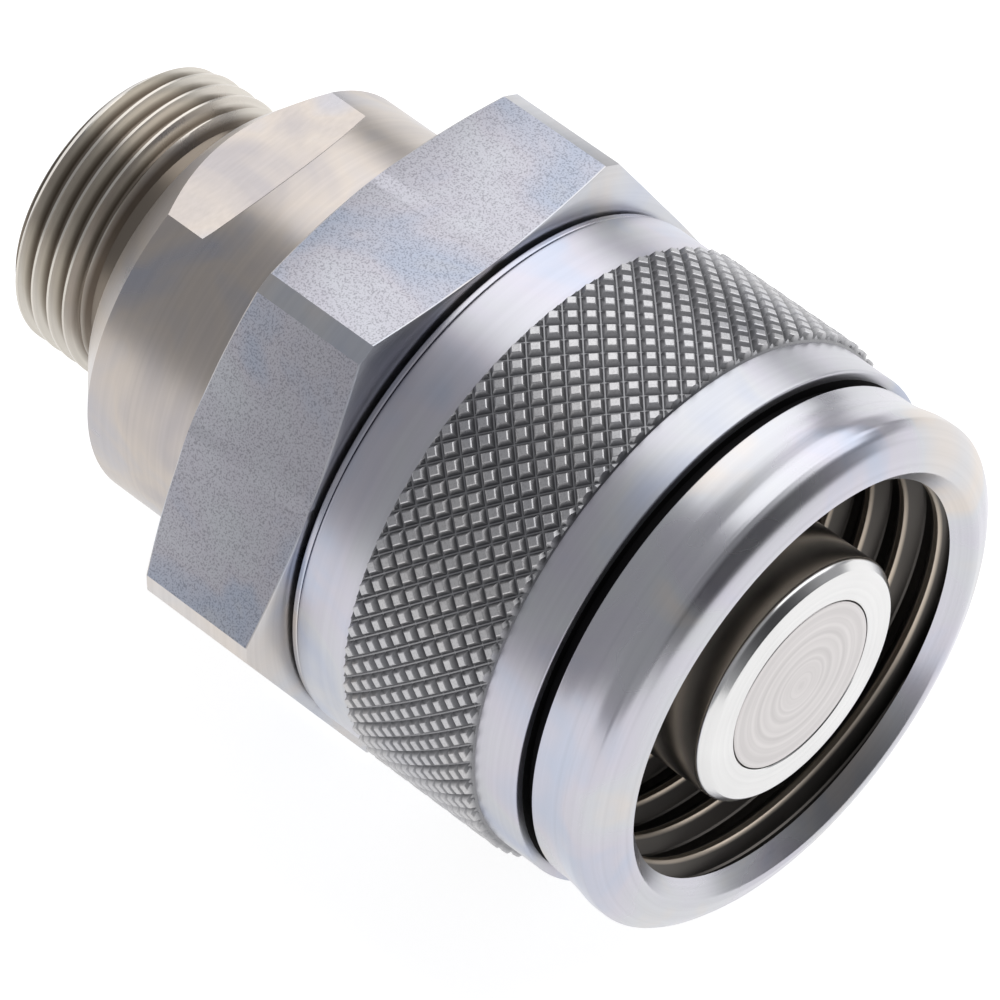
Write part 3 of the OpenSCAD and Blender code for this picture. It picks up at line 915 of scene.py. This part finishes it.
def make_valve_spring():
    """Wound wire with closed ends, which the poppet presses together."""
    wire_r = 0.55
    coil_r = spring_hi[2] / MM - wire_r
    x_start = spring_lo[0] / MM + wire_r
    x_end = spring_hi[0] / MM - wire_r
    open_turns = 5
    end_turns = 0.75
    end_rise = 1.02 * 2 * wire_r * end_turns
    open_rise = x_end - x_start - 2 * end_rise
    steps_a_turn = 40
    bm = bmesh.new()
    start = Matrix.Translation((x_start * MM, 0, coil_r * MM))
    bmesh.ops.create_circle(bm, segments=12, radius=wire_r * MM,
                            matrix=start @ Matrix.Rotation(math.radians(90), 4, "X"))
    tip = bm.verts[:] + bm.edges[:]
    closed = (end_turns, end_rise)
    for turns, rise in (closed, (open_turns, open_rise), closed):
        steps = round(turns * steps_a_turn)
        wound = bmesh.ops.spin(bm, geom=tip, cent=(0, 0, 0), axis=AXIS, angle=TURN * turns,
                               steps=steps, dvec=AXIS * (rise * MM / steps), use_merge=False,
                               use_duplicate=False)
        tip = wound["geom_last"]
    ends = [e for e in bm.edges if len(e.link_faces) == 1]
    bmesh.ops.holes_fill(bm, edges=ends, sides=0)
    piece = finish_piece("valve_spring_wound", bm, "body", [spring_steel],
                         replaced=("valve_spring",), sharp_deg=50)
    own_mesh(piece)
    return piece


# ---------------------------------------------------------------- carried-over nodes
def dress_nodes():
    """Materials of the inner pieces, which keep their solids."""
    dress = {
        seal_rubber: ("adapter_oring", "nose_oring", "dust_seal", "poppet_oring"),
        white_ptfe: ("adapter_backup_ring", "nose_backup_ring", "poppet_backup_ring"),
        bush_bronze: ("guide_bush", "thrust_washer"),
        spring_steel: ("retaining_wire",),
        inner_steel: ("stem_guide", "spring_seat", "valve_stem")}
    for material, names in dress.items():
        for name in names:
            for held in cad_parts[name].material_slots:
                held.material = material


# ---------------------------------------------------------------- room and camera
def add_area_light(name, place, aim, width, height, power):
    light = bpy.data.lights.new(name, "AREA")
    light.shape = "RECTANGLE"
    light.size = width
    light.size_y = height
    light.energy = power
    lamp = bpy.data.objects.new(name, light)
    lamp.location = place
    lamp.rotation_euler = (Vector(aim) - Vector(place)).to_track_quat("-Z", "Y").to_euler()
    bpy.context.collection.objects.link(lamp)


def make_floor():
    z_floor = cad_bounds[0][2]
    bm = bmesh.new()
    bmesh.ops.create_grid(bm, x_segments=2, y_segments=2, size=3)
    bmesh.ops.translate(bm, verts=bm.verts, vec=(0, 0, z_floor))
    mesh = bpy.data.meshes.new("floor")
    bm.to_mesh(mesh)
    bm.free()
    floor = bpy.data.objects.new("floor", mesh)
    bpy.context.collection.objects.link(floor)
    material, _, _, shader = new_material("floor_white")
    shader.inputs["Base Color"].default_value = (0.45, 0.45, 0.45, 1)
    shader.inputs["Roughness"].default_value = 0.7
    shader.inputs["Emission Color"].default_value = (1, 1, 1, 1)
    shader.inputs["Emission Strength"].default_value = 0.85
    mesh.materials.append(material)


def make_room():
    """An even, pale room that is dim past the mouth, low over the floor, and one
    large box of light over and behind the coupler."""
    world = bpy.data.worlds.new("room")
    world.use_nodes = True
    nodes = world.node_tree.nodes
    links = world.node_tree.links
    dim_side = Vector((0.95, 0.16, 0.22)).normalized()
    toward = nodes.new("ShaderNodeVectorMath")
    toward.operation = "DOT_PRODUCT"
    toward.inputs[1].default_value = dim_side
    links.new(nodes.new("ShaderNodeTexCoord").outputs["Generated"], toward.inputs[0])
    pale = (0.38, 0.385, 0.40)
    dim = (0.06, 0.06, 0.065)
    color = add_ramp(nodes, links, toward.outputs["Value"], [(0.78, pale), (0.95, dim)])
    links.new(color, nodes["Background"].inputs["Color"])
    bpy.context.scene.world = world
    bpy.context.scene.view_settings.view_transform = "Standard"
    add_area_light("softbox", (-0.05, 0.42, 0.55), (-0.02, 0, 0), 1.2, 0.9, 4.6)


def make_camera():
    camera_data = bpy.data.cameras.new("camera")
    camera_data.lens = 292.1
    camera_data.sensor_width = 36
    camera_data.clip_start = 0.01
    camera = bpy.data.objects.new("camera", camera_data)
    right = Vector((0.7243, 0.6895, 0)).normalized()
    back = Vector((0.4521, -0.4749, 0.7550)).normalized()
    up = back.cross(right)
    turn = Matrix((right, up, back)).transposed()
    camera.matrix_world = Matrix.Translation((0.2191, -0.2587, 0.4082)) @ turn.to_4x4()
    bpy.context.collection.objects.link(camera)
    bpy.context.scene.camera = camera


make_camera()
make_room()
make_floor()
make_union_nut()
make_grip_ring()
make_lock_ring()
make_hex_body()
make_rear_adapter()
make_nose()
make_poppet_head()
make_valve_spring()
dress_nodes()
